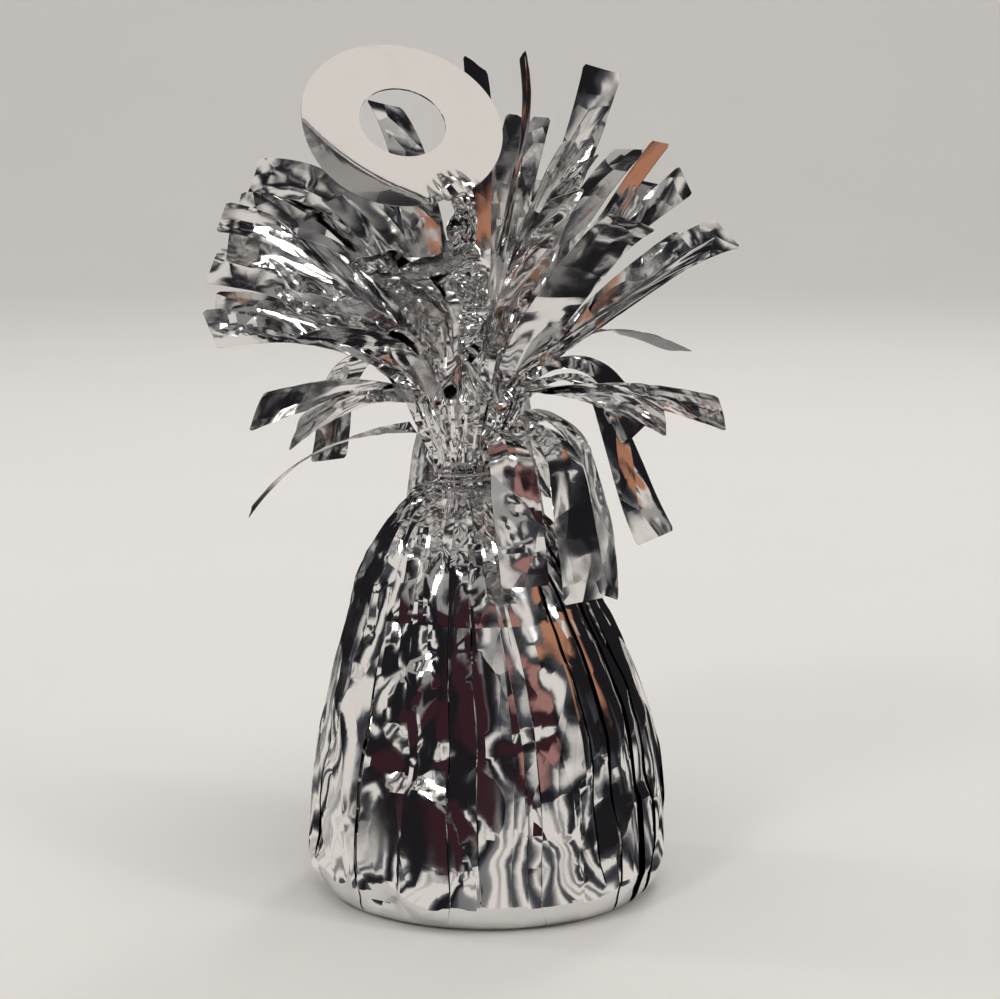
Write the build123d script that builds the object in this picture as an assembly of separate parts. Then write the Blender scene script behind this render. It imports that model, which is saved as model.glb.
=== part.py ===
from build123d import *

import math
import os
from typing import NamedTuple

# Foil balloon weight. A sheet of silver film is gathered over a weighted cup and tied at the neck.
# Its cut edge stands above the tie as a fringe, and a film ring on a twisted stem takes the ribbons.
# Millimetres. The origin is the middle of the foot on the floor, X right, Y back, Z up.

# Film bell: foot, belly and shoulder
FOOT_RADIUS = 30.0
FOOT_ROUND_REACH = 4.8
FOOT_ROUND_HEIGHT = 8.0
SHOULDER_RADIUS = 21.2
SHOULDER_SHARE = 0.692
BELLY_POWER = 2.6
SHOULDER_POWER = 1.2
SHOULDER_ROUNDNESS = 0.62
BELLY_STEPS = 5
SHOULDER_STEPS = 6

# Film neck, collar and crown, which lean to the left of the foot
NECK_RADIUS = 4.6
NECK_HEIGHT = 69.4
NECK_LEAN = -3.9
LEAN_START_HEIGHT = 30.0
COLLAR_RADIUS = 10.0
COLLAR_RISE = 12.6
CROWN_RADIUS = 1.6
CROWN_RISE = 6.4

# Pleats of the film: knife folds from the tie down to the foot
PLEATS = 20
BELLY_PLEAT_DEPTH = 1.8
NECK_PLEAT_DEPTH = 0.7
COLLAR_PLEAT_DEPTH = 1.0
FOOT_PLEAT_DEPTH = 0.2
LOW_PLEAT_SHARE = 0.4
PLEAT_UNEVENNESS = 0.3
PLEAT_SHIFT_PHASE = 2.4
PLEAT_DEPTH_PHASE = 1.7

# Weighted cup, upside down inside the film, with the cast plug and the card disc
FILM_ALLOWANCE = 3.3
FILM_FLOOR = 1.2
CUP_WALL = 0.9
CUP_TOP_RADIUS = 7.0
CUP_HEADROOM = 11.4
DISC_THICKNESS = 1.0
DISC_INSET = 1.7
FIT = 0.15
LOOSE_FIT = 0.3

# Wire tie in the pinch of the neck
TIE_WIRE_RADIUS = 0.25
TIE_TURNS = 2
TIE_GAP = 0.5
TIE_END_RUN = 1.0
TIE_START_QUARTER = 1
TIE_SAMPLES = 400

# Ring for the ribbons, on a stem of twisted film whose tail is caught in the neck
RING_OUTER_RADIUS = 16.5
RING_HOLE_RADIUS = 7.1
RING_THICKNESS = 0.6
RING_TURN = 18.5
RING_TIP_BACK = 43.0
RING_ROOT_ANGLE = 42.0
RING_ROOT_LENGTH = 5.0
STEM_SIDE_SHARE = -0.014
STEM_FORWARD_SHARE = 0.152
STEM_RISE_SHARE = 0.536
STEM_BOW = 1.6
STEM_WIDTH = 4.2
STEM_FOLD = 1.7
STEM_END_WIDTH = 2.2
STEM_TWIST = 420.0
STEM_STEPS = 12
TAIL_RADIUS = 1.1
TAIL_DEPTH = 22.0
TAIL_COVER = 1.2

# Fringe strips. The lengths and bends of each are shares of the fringe's length.
FRINGE_LENGTH = 50.0
STRIP_WIDTH = 8.0
STRIP_THICKNESS = 0.5
STRIP_CORNER = 1.2
STRIP_LEAD = 2.0
STRIP_TAPER = 16.0
BEAD_RADIUS = 0.8
ROOT_CLEARANCE = 0.45
ROOT_GAP = 0.9
ARC_STEP = 14.0
LOW_ROOT_SHARE = 0.65
OUTER_ROOT_SHARE = 0.93
LAP_ROOT_SHARE = 0.775
MIDDLE_ROOT_SHARE = 0.62
INNER_ROOT_SHARE = 0.33


class Tier(NamedTuple):
    """One ring of strip roots on the collar, and how many strips it has room for."""

    name: str
    room: int


LOW = Tier("low", 10)
OUTER = Tier("outer", 14)
LAP = Tier("lap", 18)
MIDDLE = Tier("middle", 11)
INNER = Tier("inner", 8)


class Strip(NamedTuple):
    """A fringe strip: its seat round the collar, how it leaves and bends, and its length.

    Seat, lift and droop are degrees, bend is the radius that it droops on, and a bend of 0 spreads the
    droop over the whole strip. Bend and length are shares of the fringe's length. Yaw turns the strip
    sideways out of its seat, roll tilts it about its own length, and twist is how much further its tip
    is rolled.
    """

    tier: Tier
    seat: float
    lift: float
    droop: float
    bend: float
    length: float
    yaw: float
    roll: float
    twist: float


# Strips that fold over the collar and hang
LOW_STRIPS = [
    Strip(LOW, 332, 10, 88, 0.16, 0.70, -12, 0, 20),
    Strip(LOW, 26, 14, 88, 0.18, 0.82, 0, 0, 0),
    Strip(LOW, 64, 8, 78, 0.14, 0.56, 0, 0, 10),
    Strip(LOW, 101, 10, 78, 0.16, 0.84, -6, 0, 0),
    Strip(LOW, 202, 2, 50, 0.00, 0.64, 4, 10, 20),
    Strip(LOW, 298, 8, 78, 0.16, 0.62, -8, 0, 0),
]

# Strips round the rim of the collar
OUTER_STRIPS = [
    Strip(OUTER, 355, 34, 104, 0.16, 0.78, -8, 0, 40),
    Strip(OUTER, 21, 44, 18, 0.00, 0.90, -4, 4, 36),
    Strip(OUTER, 47, 38, 76, 0.00, 0.88, -4, 0, 0),
    Strip(OUTER, 77, 34, 96, 0.28, 0.92, 0, 0, 0),
    Strip(OUTER, 103, 28, 40, 0.00, 0.80, 0, 0, -14),
    Strip(OUTER, 131, 42, 128, 0.26, 0.78, 4, 0, 0),
    Strip(OUTER, 158, 54, 54, 0.00, 0.82, 4, 0, -44),
    Strip(OUTER, 190, 46, 60, 0.00, 0.70, 8, 0, -48),
    Strip(OUTER, 218, 10, 24, 0.00, 0.68, 6, 20, 34),
    Strip(OUTER, 244, 46, 40, 0.00, 0.72, -4, 0, 20),
    Strip(OUTER, 303, 50, 14, 0.00, 0.88, 8, -10, -16),
    Strip(OUTER, 329, 8, 20, 0.00, 0.76, -2, -4, -46),
]

# Strips that lie over the outer ones
LAP_STRIPS = [
    Strip(LAP, 37, 53, 18, 0.00, 0.90, 2, 0, 10),
    Strip(LAP, 5, 62, 8, 0.00, 0.92, 8, 0, 6),
    Strip(LAP, 326, 38, 8, 0.00, 0.84, 9, 0, 24),
    Strip(LAP, 68, 50, 20, 0.00, 0.90, 0, 0, 0),
    Strip(LAP, 98, 46, 40, 0.00, 0.86, 0, 0, 0),
    Strip(LAP, 129, 44, 30, 0.00, 0.84, -4, 0, 0),
]

# Strips in the middle ring
MIDDLE_STRIPS = [
    Strip(MIDDLE, 12, 73, 4, 0.00, 1.04, 0, 0, 40),
    Strip(MIDDLE, 45, 58, 16, 0.00, 0.96, -4, 0, 0),
    Strip(MIDDLE, 78, 64, 6, 0.00, 0.96, -12, 0, 10),
    Strip(MIDDLE, 112, 52, 28, 0.00, 0.92, 0, 0, -12),
    Strip(MIDDLE, 145, 60, 14, 0.00, 0.76, -4, 0, 20),
    Strip(MIDDLE, 180, 63, 50, 0.00, 0.86, 0, 0, -36),
    Strip(MIDDLE, 212, 56, 52, 0.00, 0.68, 2, 0, -30),
    Strip(MIDDLE, 246, 68, 66, 0.00, 0.68, 0, 0, 20),
    Strip(MIDDLE, 306, 65, 12, 0.00, 0.84, 6, 0, 16),
    Strip(MIDDLE, 340, 54, 14, 0.00, 0.88, 2, 0, 44),
]

# Strips that stand up in the middle of the fringe
INNER_STRIPS = [
    Strip(INNER, 42, 75, 4, 0.00, 1.02, 10, -36, -10),
    Strip(INNER, 87, 71, 4, 0.00, 1.04, -8, 40, 30),
    Strip(INNER, 132, 68, 8, 0.00, 0.96, -16, 0, 20),
    Strip(INNER, 175, 80, 80, 0.00, 1.00, -4, -14, -50),
    Strip(INNER, 336, 70, 10, 0.00, 0.92, 0, 0, 0),
    Strip(INNER, 220, 78, 8, 0.00, 0.36, 6, 10, 0),
]

TIER_STRIPS = [LOW_STRIPS, OUTER_STRIPS, LAP_STRIPS, MIDDLE_STRIPS, INNER_STRIPS]
STRIPS = {
    f"{strip.tier.name}_strip_{place}": strip
    for strips in TIER_STRIPS
    for place, strip in enumerate(strips, 1)
}


def slope(start, end):
    """Unit direction in the radius and height plane from one (radius, height) point to another."""
    run = end[0] - start[0]
    rise = end[1] - start[1]
    return run / math.hypot(run, rise), rise / math.hypot(run, rise)


SHOULDER_HEIGHT = NECK_HEIGHT * SHOULDER_SHARE
CUP_TOP_HEIGHT = NECK_HEIGHT - CUP_HEADROOM
COLLAR_HEIGHT = NECK_HEIGHT + COLLAR_RISE
CROWN_HEIGHT = COLLAR_HEIGHT + CROWN_RISE
NECK_POINT = (NECK_RADIUS, NECK_HEIGHT)
COLLAR_POINT = (COLLAR_RADIUS, COLLAR_HEIGHT)
CROWN_POINT = (CROWN_RADIUS, CROWN_HEIGHT)
ROOT_STAND = BEAD_RADIUS + ROOT_CLEARANCE
TIE_PITCH = 2 * TIE_WIRE_RADIUS + TIE_GAP
TIE_HEIGHT = TIE_PITCH * TIE_TURNS + 2 * TIE_WIRE_RADIUS


def root_seat(tier):
    """Radius and height of a tier's root beads, clear of the collar's flank or of the crown."""
    if tier is LOW:
        run, rise = slope(NECK_POINT, COLLAR_POINT)
        radius = NECK_RADIUS + (COLLAR_RADIUS - NECK_RADIUS) * LOW_ROOT_SHARE
        height = NECK_HEIGHT + COLLAR_RISE * LOW_ROOT_SHARE
        return radius + ROOT_STAND * rise, height - ROOT_STAND * run
    run, rise = slope(COLLAR_POINT, CROWN_POINT)
    shares = {
        OUTER.name: OUTER_ROOT_SHARE,
        LAP.name: LAP_ROOT_SHARE,
        MIDDLE.name: MIDDLE_ROOT_SHARE,
        INNER.name: INNER_ROOT_SHARE,
    }
    radius = COLLAR_RADIUS * shares[tier.name]
    height = COLLAR_HEIGHT + (radius - COLLAR_RADIUS) * rise / run
    return radius + ROOT_STAND * rise, height - ROOT_STAND * run


def root_width(tier):
    """Width of a strip where it leaves the collar: its share of the ring less a gap."""
    return 2 * root_seat(tier)[0] * math.sin(math.pi / tier.room) - ROOT_GAP


def strip_axes(strip):
    """Root point, launch direction, direction across and normal of a strip at its root."""
    radius, height = root_seat(strip.tier)
    seat = math.radians(strip.seat)
    root = Vector(NECK_LEAN + radius * math.cos(seat), radius * math.sin(seat), height)
    turn = seat + math.radians(strip.yaw)
    lift = math.radians(strip.lift)
    outward = Vector(math.cos(turn), math.sin(turn), 0)
    along = outward * math.cos(lift) + Vector(0, 0, math.sin(lift))
    level = Vector(-math.sin(turn), math.cos(turn), 0)
    upward = along.cross(level)
    roll = math.radians(strip.roll)
    across = level * math.cos(roll) + upward * math.sin(roll)
    return root, along, across, along.cross(across)


def strip_stations(strip):
    """Distances along a strip at which its section is drawn, with the heading turned so far."""
    droop = math.radians(strip.droop)
    length = strip.length * FRINGE_LENGTH
    free = length - STRIP_LEAD
    bend = min(strip.bend * FRINGE_LENGTH or free / droop, free / droop)
    steps = max(2, math.ceil(strip.droop / ARC_STEP))
    stations = [(0.0, 0.0)]
    for step in range(steps + 1):
        share = step / steps
        stations.append((STRIP_LEAD + bend * droop * share, droop * share))
    last = stations[-1][0]
    corner = length - STRIP_CORNER
    if last < corner - STRIP_CORNER:
        if corner - last > STRIP_WIDTH:
            stations.append(((last + corner) / 2, droop))
        stations.append((corner, droop))
        stations.append((length, droop))
    else:
        stations.insert(-1, (corner, droop * (corner - STRIP_LEAD) / free))
    return stations


def strip_frames(strip):
    """Middle point, direction across, normal and width of a strip at each of its stations."""
    root, along, across, normal = strip_axes(strip)
    narrow = root_width(strip.tier)
    length = strip.length * FRINGE_LENGTH
    frames = []
    point = root
    before = (0.0, 0.0)
    for distance, turned in strip_stations(strip):
        middle = (before[1] + turned) / 2
        chord = distance - before[0]
        half_turn = (turned - before[1]) / 2
        if half_turn:
            chord *= math.sin(half_turn) / half_turn
        point = point + (along * math.cos(middle) - normal * math.sin(middle)) * chord
        heading = along * math.cos(turned) - normal * math.sin(turned)
        twist = math.radians(strip.twist) * distance / length
        upright = heading.cross(across)
        side = across * math.cos(twist) + upright * math.sin(twist)
        width = min(STRIP_WIDTH, narrow + (STRIP_WIDTH - narrow) * distance / STRIP_TAPER)
        if distance >= length:
            width -= 2 * STRIP_CORNER
        frames.append((point, side, heading.cross(side), width))
        before = (distance, turned)
    return frames


def ribbon(frames, thickness):
    """Ruled solid through flat sections, each given by its middle, its two directions and its width."""
    sections = []
    for point, side, normal, width in frames:
        reach = side * (width / 2)
        depth = normal * (thickness / 2)
        front = [point + reach + depth, point - reach + depth]
        back = [point - reach - depth, point + reach - depth]
        sections.append(Wire.make_polygon(front + back, close=True))
    return Solid.make_loft(sections, ruled=True)


def bead(center, axis, radius, length):
    """Round root of a strip or tab, centred on its hinge line."""
    plane = Plane(origin=center - axis * (length / 2), z_dir=axis)
    return Solid.make_cylinder(radius, length, plane)


def make_strip(strip):
    """One fringe strip with the rolled bead that it flexes on."""
    root, _, across, _ = strip_axes(strip)
    body = ribbon(strip_frames(strip), STRIP_THICKNESS)
    return body.fuse(bead(root, across, BEAD_RADIUS, root_width(strip.tier)))


def lean_at(height):
    """Sideways shift of the film's middle line at a height."""
    share = (height - LEAN_START_HEIGHT) / (NECK_HEIGHT - LEAN_START_HEIGHT)
    return NECK_LEAN * min(1.0, max(0.0, share))


def belly_radius(height):
    """Radius of the film bell between the foot and the shoulder."""
    drawn_in = (FOOT_RADIUS - SHOULDER_RADIUS) * (height / SHOULDER_HEIGHT) ** BELLY_POWER
    return FOOT_RADIUS - drawn_in


def film_levels():
    """Heights, radii and pleat depths of the film's sections, from the floor to the crown."""
    half_round = math.sin(math.pi / 4)
    round_height = FOOT_ROUND_HEIGHT * (1 - half_round)
    round_radius = FOOT_RADIUS - FOOT_ROUND_REACH * (1 - half_round)
    flat_radius = FOOT_RADIUS - FOOT_ROUND_REACH
    levels = [(0.0, flat_radius, 0.0), (round_height, round_radius, FOOT_PLEAT_DEPTH)]
    for step in range(BELLY_STEPS + 1):
        share = step / BELLY_STEPS
        height = FOOT_ROUND_HEIGHT + (SHOULDER_HEIGHT - FOOT_ROUND_HEIGHT) * share
        depth = BELLY_PLEAT_DEPTH * (LOW_PLEAT_SHARE + (1 - LOW_PLEAT_SHARE) * share)
        levels.append((height, belly_radius(height), depth))
    for step in range(1, SHOULDER_STEPS + 1):
        share = step / SHOULDER_STEPS
        height = SHOULDER_HEIGHT + (NECK_HEIGHT - TIE_HEIGHT / 2 - SHOULDER_HEIGHT) * share
        drawn_in = (1 - share**SHOULDER_POWER) ** SHOULDER_ROUNDNESS
        radius = NECK_RADIUS + (SHOULDER_RADIUS - NECK_RADIUS) * drawn_in
        depth = BELLY_PLEAT_DEPTH + (NECK_PLEAT_DEPTH - BELLY_PLEAT_DEPTH) * share
        levels.append((height, radius, depth))
    levels.append((NECK_HEIGHT + TIE_HEIGHT / 2, NECK_RADIUS, NECK_PLEAT_DEPTH))
    levels.append((COLLAR_HEIGHT, COLLAR_RADIUS, COLLAR_PLEAT_DEPTH))
    levels.append((CROWN_HEIGHT, CROWN_RADIUS, 0.0))
    return levels


def pleated_section(height, radius, depth):
    """Closed outline of the film at one height, with uneven knife pleats."""
    corners = []
    for index in range(2 * PLEATS):
        shift = PLEAT_UNEVENNESS * math.sin(PLEAT_SHIFT_PHASE * index)
        angle = math.pi * (index + shift) / PLEATS
        fold = depth * (1 - PLEAT_UNEVENNESS * math.sin(PLEAT_DEPTH_PHASE * index))
        reach = radius - fold if index % 2 else radius
        corners.append((lean_at(height) + reach * math.cos(angle), reach * math.sin(angle), height))
    return Wire.make_polygon(corners, close=True)


LIP_HEIGHT = FILM_FLOOR + FIT + DISC_THICKNESS + FIT
LIP_RADIUS = belly_radius(LIP_HEIGHT) - FILM_ALLOWANCE
DISC_RADIUS = LIP_RADIUS - DISC_INSET


def cup_profile(grow):
    """Half outline of the cup, moved outwards by a distance, closed along the axis."""
    waist_height = SHOULDER_HEIGHT / 2
    lip = (LIP_RADIUS + grow, LIP_HEIGHT)
    waist = (belly_radius(waist_height) - FILM_ALLOWANCE + grow, waist_height)
    lean = abs(lean_at(SHOULDER_HEIGHT))
    shoulder = (SHOULDER_RADIUS - FILM_ALLOWANCE - lean + grow, SHOULDER_HEIGHT)
    top = (CUP_TOP_RADIUS, CUP_TOP_HEIGHT + grow)
    side = ThreePointArc(lip, waist, shoulder)
    dome = TangentArc(shoulder, top, tangent=side % 1)
    flat = Line(top, (0, CUP_TOP_HEIGHT + grow))
    axis = Line((0, CUP_TOP_HEIGHT + grow), (0, LIP_HEIGHT))
    mouth = Line((0, LIP_HEIGHT), lip)
    return make_face([side, dome, flat, axis, mouth])


def turned(face):
    """Solid of revolution of a half outline about the upright axis."""
    return revolve(Plane.XZ * face, Axis.Z)


def make_cup():
    """Thin plastic cup, mouth down."""
    return turned(cup_profile(0.0)) - turned(cup_profile(-CUP_WALL))


def make_plug():
    """Cast weight that fills the cup."""
    return turned(cup_profile(-CUP_WALL - FIT))


def make_disc():
    """Card disc that closes the cup's mouth."""
    return Pos(0, 0, FILM_FLOOR + FIT) * Cylinder(
        DISC_RADIUS, DISC_THICKNESS, align=(Align.CENTER, Align.CENTER, Align.MIN)
    )


def stem_root():
    """Middle of the bead that the stem sways on, in the free front of the inner tier."""
    radius, height = root_seat(INNER)
    return Vector(NECK_LEAN, -radius, height)


STEM_ROOT = stem_root()
STEM_TOP = Vector(NECK_LEAN, 0, CROWN_HEIGHT) + FRINGE_LENGTH * Vector(
    STEM_SIDE_SHARE, -STEM_FORWARD_SHARE, STEM_RISE_SHARE
)
STEM_SWAY_AXIS = Vector(1, 0, 0)


def ring_axes():
    """Normal of the ring, direction from its middle to its root, and the hinge line at the root."""
    turn = math.radians(RING_TURN)
    tip = math.radians(RING_TIP_BACK)
    rise = Vector(math.sin(turn), 0, math.cos(turn))
    front = Vector(0, -1, 0)
    normal = front * math.cos(tip) + rise * math.sin(tip)
    level = Vector(math.cos(turn), 0, -math.sin(turn))
    down = front * math.sin(tip) - rise * math.cos(tip)
    root = math.radians(RING_ROOT_ANGLE)
    toward_root = level * math.cos(root) + down * math.sin(root)
    return normal, toward_root, normal.cross(toward_root)


RING_NORMAL, RING_TOWARD_ROOT, RING_NOD_AXIS = ring_axes()
RING_CENTER = STEM_TOP - RING_TOWARD_ROOT * RING_OUTER_RADIUS


def ring_point(radius, angle):
    """Point on a circle about the ring's middle, in the ring's plane."""
    return RING_CENTER + (RING_TOWARD_ROOT * math.cos(angle) + RING_NOD_AXIS * math.sin(angle)) * radius


def stem_frames():
    """Sections of the twisted stem from its root bead to just under the ring's bead."""
    rise = (STEM_TOP - STEM_ROOT).normalized()
    top = STEM_TOP - rise * ROOT_STAND
    frames = []
    for step in range(STEM_STEPS + 1):
        share = step / STEM_STEPS
        bow = Vector(STEM_BOW * math.sin(math.pi * share), 0, 0)
        point = STEM_ROOT + (top - STEM_ROOT) * share + bow
        twist = math.radians(STEM_TWIST) * share
        side = Vector(math.cos(twist), math.sin(twist), 0)
        side = (side - rise * side.dot(rise)).normalized()
        swell = math.sqrt(abs(math.sin(math.pi * share)))
        width = STEM_END_WIDTH + (STEM_WIDTH - STEM_END_WIDTH) * swell
        frames.append((point, side, rise.cross(side), width))
    return frames


def make_stem():
    """Twisted film stem with the bead that it sways on."""
    root_bead = bead(STEM_ROOT, STEM_SWAY_AXIS, BEAD_RADIUS, STEM_END_WIDTH)
    return ribbon(stem_frames(), STEM_FOLD).fuse(root_bead)


def tail_axis():
    """Top and foot of the stem's tail, from under the crown down through the pinched neck."""
    radius, height = root_seat(INNER)
    top = Vector(NECK_LEAN, -radius, height - ROOT_STAND - TAIL_COVER)
    foot = Vector(NECK_LEAN, 0, height - TAIL_DEPTH)
    return top, foot


def rod(start, end, radius):
    """Round rod between two points."""
    return Solid.make_cylinder(radius, (end - start).length, Plane(origin=start, z_dir=end - start))


def make_tail():
    """Rolled end of the stem, caught in the neck."""
    top, foot = tail_axis()
    return rod(foot, top, TAIL_RADIUS)


def make_ring():
    """Film-faced ring with its hole and the bead that it nods on."""
    plane = Plane(origin=RING_CENTER - RING_NORMAL * (RING_THICKNESS / 2), z_dir=RING_NORMAL)
    disc = Solid.make_cylinder(RING_OUTER_RADIUS, RING_THICKNESS, plane)
    hole = Solid.make_cylinder(RING_HOLE_RADIUS, RING_THICKNESS, plane)
    return disc.cut(hole).fuse(bead(STEM_TOP, RING_NOD_AXIS, BEAD_RADIUS, RING_ROOT_LENGTH))


def biarc(start, start_way, end, end_way):
    """Two tangent arcs that join two points with given directions."""
    chord = end - start
    ways = start_way + end_way
    spread = 2 * (1 - start_way.dot(end_way))
    along = chord.dot(ways)
    reach = (math.sqrt(along * along + spread * chord.dot(chord)) - along) / spread
    joint = (start + start_way * reach + end - end_way * reach) * 0.5
    first = TangentArc(start, joint, tangent=start_way)
    second = TangentArc(joint, end, tangent=first % 1)
    return [first, second]


def tie_points():
    """Points and directions at each quarter turn of the tie."""
    radius = NECK_RADIUS + FIT + TIE_WIRE_RADIUS
    climb = TIE_PITCH / (2 * math.pi * radius)
    points = []
    for quarter in range(4 * TIE_TURNS + 1):
        angle = math.pi / 2 * (quarter + TIE_START_QUARTER)
        height = NECK_HEIGHT + TIE_PITCH * (quarter / 4 - TIE_TURNS / 2)
        way = Vector(-math.sin(angle), math.cos(angle), climb).normalized()
        points.append((Vector(NECK_LEAN + radius * math.cos(angle), radius * math.sin(angle), height), way))
    return points


def make_tie():
    """Wire wound round the pinch of the neck, with short straight ends."""
    points = tie_points()
    first, first_way = points[0]
    last, last_way = points[-1]
    path = [Line(first - first_way * TIE_END_RUN, first)]
    for (start, start_way), (end, end_way) in zip(points, points[1:]):
        path += biarc(start, start_way, end, end_way)
    path.append(Line(last, last + last_way * TIE_END_RUN))
    start = Plane(origin=first - first_way * TIE_END_RUN, z_dir=first_way)
    wire = Wire(path)
    section = start * Circle(TIE_WIRE_RADIUS)
    solid = sweep(section, path=wire)
    report_tie(wire, solid)
    return solid


def report_tie(wire, solid):
    """Print the tie's volume against its length, and its least gap to itself."""
    samples = [wire.position_at(step / TIE_SAMPLES) for step in range(TIE_SAMPLES + 1)]
    quarter_turn = TIE_SAMPLES // (4 * TIE_TURNS)
    least = min(
        (samples[i] - samples[j]).length
        for i in range(len(samples))
        for j in range(i + quarter_turn, len(samples))
    )
    expected = math.pi * TIE_WIRE_RADIUS**2 * wire.length
    gap = least - 2 * TIE_WIRE_RADIUS
    print(f"neck_tie volume {solid.volume:.3f} of {expected:.3f}, least gap {gap:.3f}")


def make_wrap():
    """Pleated film bell with its neck, collar and crown, hollow where the cup and the tail lie."""
    bell = Solid.make_loft([pleated_section(*level) for level in film_levels()], ruled=True)
    hollow = turned(cup_profile(LOOSE_FIT))
    disc_room = Pos(0, 0, FILM_FLOOR) * Cylinder(
        DISC_RADIUS + LOOSE_FIT,
        LIP_HEIGHT - FILM_FLOOR,
        align=(Align.CENTER, Align.CENTER, Align.MIN),
    )
    top, foot = tail_axis()
    way = (top - foot).normalized()
    tail_room = rod(foot - way * FIT, top + way * (TAIL_COVER + ROOT_STAND), TAIL_RADIUS + FIT)
    return bell - hollow - disc_room - tail_room


def main():
    """Write each piece to its own file."""
    os.makedirs("parts", exist_ok=True)
    solids = {
        "ballast_cup": make_cup(),
        "ballast_plug": make_plug(),
        "base_disc": make_disc(),
        "foil_wrap": make_wrap(),
        "neck_tie": make_tie(),
        "tab_tail": make_tail(),
        "tab_stem": make_stem(),
        "ring_tab": make_ring(),
    }
    for name, strip in STRIPS.items():
        solids[name] = make_strip(strip)
    for name, solid in solids.items():
        export_step(solid, f"parts/{name}.step")


if __name__ == "__main__":
    main()
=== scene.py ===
"""Foil balloon weight: a pleated silver film bell with a fringe and a ring tab, dressed over its CAD frame."""

import logging
import math
from dataclasses import dataclass, field, replace
from enum import Enum

import bpy
import numpy as np
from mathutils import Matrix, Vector


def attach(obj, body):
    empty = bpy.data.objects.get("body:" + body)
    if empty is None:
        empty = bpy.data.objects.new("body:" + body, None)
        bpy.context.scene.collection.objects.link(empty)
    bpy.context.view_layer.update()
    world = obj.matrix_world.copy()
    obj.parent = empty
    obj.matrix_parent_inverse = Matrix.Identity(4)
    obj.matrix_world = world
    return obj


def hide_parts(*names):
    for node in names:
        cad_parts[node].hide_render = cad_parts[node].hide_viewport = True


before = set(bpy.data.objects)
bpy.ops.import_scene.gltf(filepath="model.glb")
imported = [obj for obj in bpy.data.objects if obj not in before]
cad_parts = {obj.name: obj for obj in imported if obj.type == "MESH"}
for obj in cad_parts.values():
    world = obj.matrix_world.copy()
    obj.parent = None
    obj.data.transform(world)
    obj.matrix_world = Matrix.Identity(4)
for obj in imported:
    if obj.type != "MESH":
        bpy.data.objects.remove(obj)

LOG = logging.getLogger("balloon_weight")
MM = 0.001
FULL_TURN = 2 * math.pi

Pair = tuple[float, float]
Triple = tuple[float, float, float]
Piece = bpy.types.Object


class Tier(Enum):
    """Ring of roots on the collar: its share of the collar and how many strips it has room for."""

    LOW = ("low", 0.65, 10)
    OUTER = ("outer", 0.93, 14)
    LAP = ("lap", 0.775, 18)
    MIDDLE = ("middle", 0.62, 11)
    INNER = ("inner", 0.33, 8)

    def __init__(self, label: str, share: float, room: int) -> None:
        """Names the values of a tier.

        Args:
            label: Start of the names of its strips.
            share: Place of the roots along the collar's flank, or share of its radius.
            room: Number of strips that a full ring of them would have.
        """
        self.label = label
        self.share = share
        self.room = room


def deselect() -> None:
    """Leaves edit mode and clears the selection."""
    if bpy.context.object is not None and bpy.context.object.mode != "OBJECT":
        bpy.ops.object.mode_set(mode="OBJECT")
    bpy.ops.object.select_all(action="DESELECT")


def make_active(piece: Piece) -> None:
    """Selects one piece alone and makes it active."""
    deselect()
    piece.select_set(True)
    bpy.context.view_layer.objects.active = piece


def add_grid(name: str, columns: int, rows: int) -> tuple[Piece, np.ndarray, np.ndarray]:
    """Adds a flat grid, whose points are to be moved into shape.

    Args:
        name: Name of the piece.
        columns: Cells across.
        rows: Cells along.

    Returns:
        The new object, and each point's place across and along from 0 to 1.
    """
    deselect()
    bpy.ops.mesh.primitive_grid_add(x_subdivisions=columns, y_subdivisions=rows, size=1)
    piece = bpy.context.object
    piece.name = piece.data.name = name
    flat = np.empty(len(piece.data.vertices) * 3)
    piece.data.vertices.foreach_get("co", flat)
    points = flat.reshape(-1, 3)
    return piece, points[:, 0] + 0.5, points[:, 1] + 0.5


def write_points(piece: Piece, points: np.ndarray) -> None:
    """Moves a piece's points to an array's places."""
    piece.data.vertices.foreach_set("co", np.ascontiguousarray(points, dtype=float).ravel())
    piece.data.update()


def merge_seam(piece: Piece, reach: float, outward: bool = False) -> None:
    """Merges the points of a piece that meet.

    Args:
        piece: Mesh object to change, which stays active.
        reach: Distance in metres below which two points are one.
        outward: Whether its faces are turned outward too.
    """
    make_active(piece)
    bpy.ops.object.mode_set(mode="EDIT")
    bpy.ops.mesh.select_all(action="SELECT")
    bpy.ops.mesh.remove_doubles(threshold=reach)
    if outward:
        bpy.ops.mesh.normals_make_consistent(inside=False)
    bpy.ops.object.mode_set(mode="OBJECT")


def around_axis(reach: np.ndarray, turn: np.ndarray, height: np.ndarray) -> np.ndarray:
    """Gives points, one per row, at a reach from the upright axis, a turn round it in radians and a height."""
    return np.stack([reach * np.cos(turn), reach * np.sin(turn), height], axis=1)


def unit(vector: np.ndarray) -> np.ndarray:
    """Gives a vector at length one."""
    return vector / np.linalg.norm(vector)


def ramp(value: np.ndarray, reach: float) -> np.ndarray:
    """Rises from 0 to 1 while a value goes from 0 to a reach, and stays at 1 beyond it."""
    return np.clip(value / reach, 0, 1)


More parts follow.
